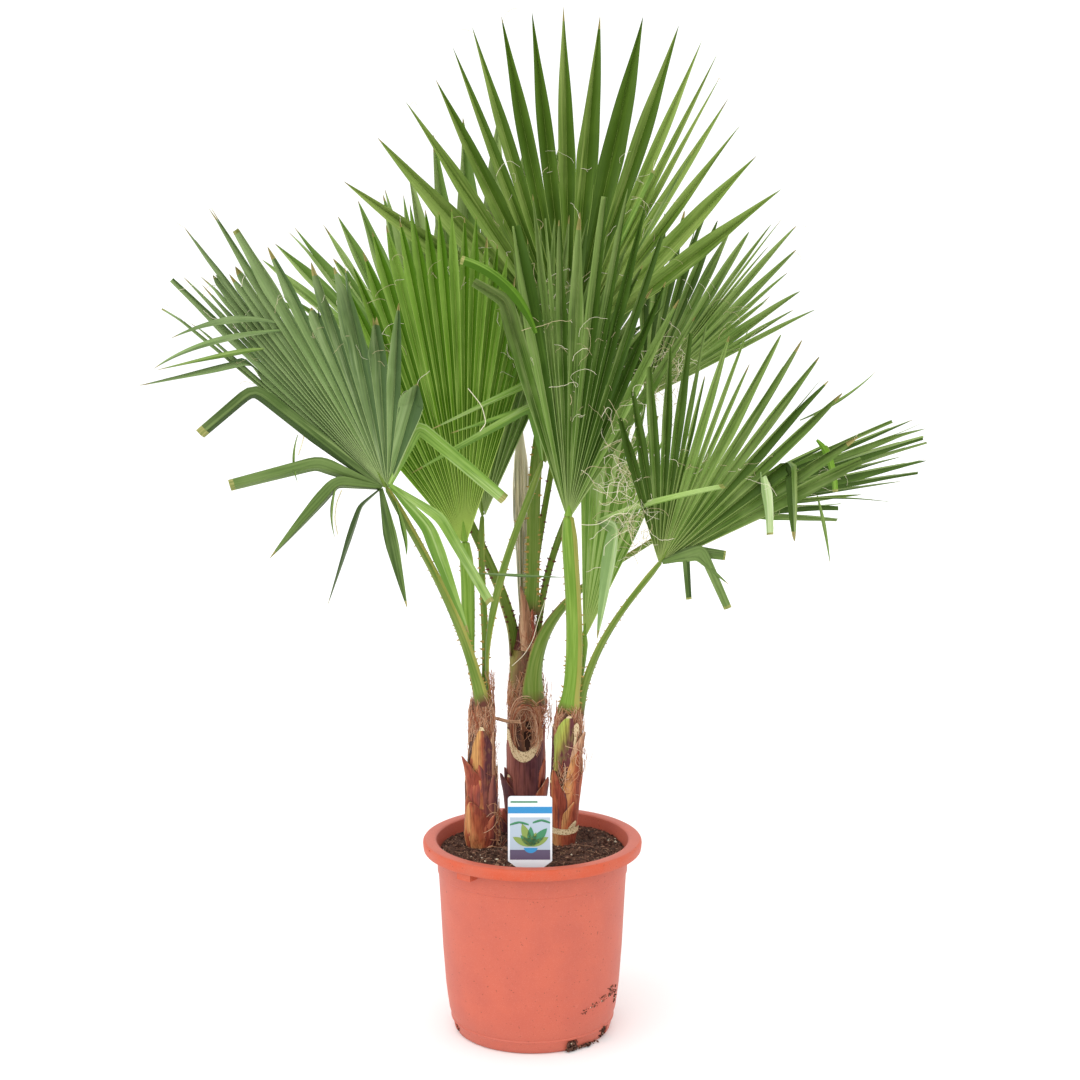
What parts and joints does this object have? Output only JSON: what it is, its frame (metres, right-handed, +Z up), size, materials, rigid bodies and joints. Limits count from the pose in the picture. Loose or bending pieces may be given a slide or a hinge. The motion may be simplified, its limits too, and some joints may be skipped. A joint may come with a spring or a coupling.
{
  "type": "potted fan palm",
  "caption": "Potted California fan palm: leaning stems with cut leaf bases, toothed stalks and pleated fan fronds, in a round soil-filled nursery pot.",
  "frame": {"origin": "centre of the pot's flat underside", "axes": "+Z up along the pot's axis, +X to the right as seen from the front, the front of the plant and its card face -Y"},
  "size_m": [1.1819, 0.8108, 1.573],
  "materials": {
    "pot_plastic": "satin moulded terracotta-coloured plastic",
    "potting_soil": "loose bark-based soil",
    "card_plastic": "printed plastic card",
    "stem_husk": "dry red-brown leaf bases with fibre",
    "stalk_green": "smooth waxy stalk",
    "dry_spear": "withered rolled leaf",
    "leaf_green": "pleated semi-gloss leaf",
    "leaf_grey": "pleated grey-green leaf"
  },
  "bodies": {
    "root": {"pot": "pot_plastic", "soil": "potting_soil", "plant_card": "card_plastic", "stem_left": "stem_husk", "stem_middle": "stem_husk", "stem_right": "stem_husk", "spear": "dry_spear", "stalk_left_low": "stalk_green", "stalk_left_upright": "stalk_green", "stalk_left_behind": "stalk_green", "stalk_cross": "stalk_green", "stalk_back_left": "stalk_green", "stalk_crown": "stalk_green", "stalk_back_right": "stalk_green", "stalk_far_right": "stalk_green", "stalk_front": "stalk_green", "stalk_young": "stalk_green", "stalk_right_low": "stalk_green", "stalk_back_low": "stalk_green", "blade_left_low": "leaf_grey", "blade_left_upright": "leaf_green", "blade_left_behind": "leaf_green", "blade_cross": "leaf_green", "blade_back_left": "leaf_green", "blade_crown": "leaf_green", "blade_back_right": "leaf_green", "blade_far_right": "leaf_green", "blade_front": "leaf_green", "blade_young": "leaf_green", "blade_right_low": "leaf_grey", "blade_back_low": "leaf_grey", "leaflets_left_low_hanging": "leaf_grey", "leaflets_left_low_inner": "leaf_grey", "leaflets_cross_loose": "leaf_green", "leaflets_right_low_hanging": "leaf_grey", "leaflets_young_loose": "leaf_green"}
  },
  "joints": []
}
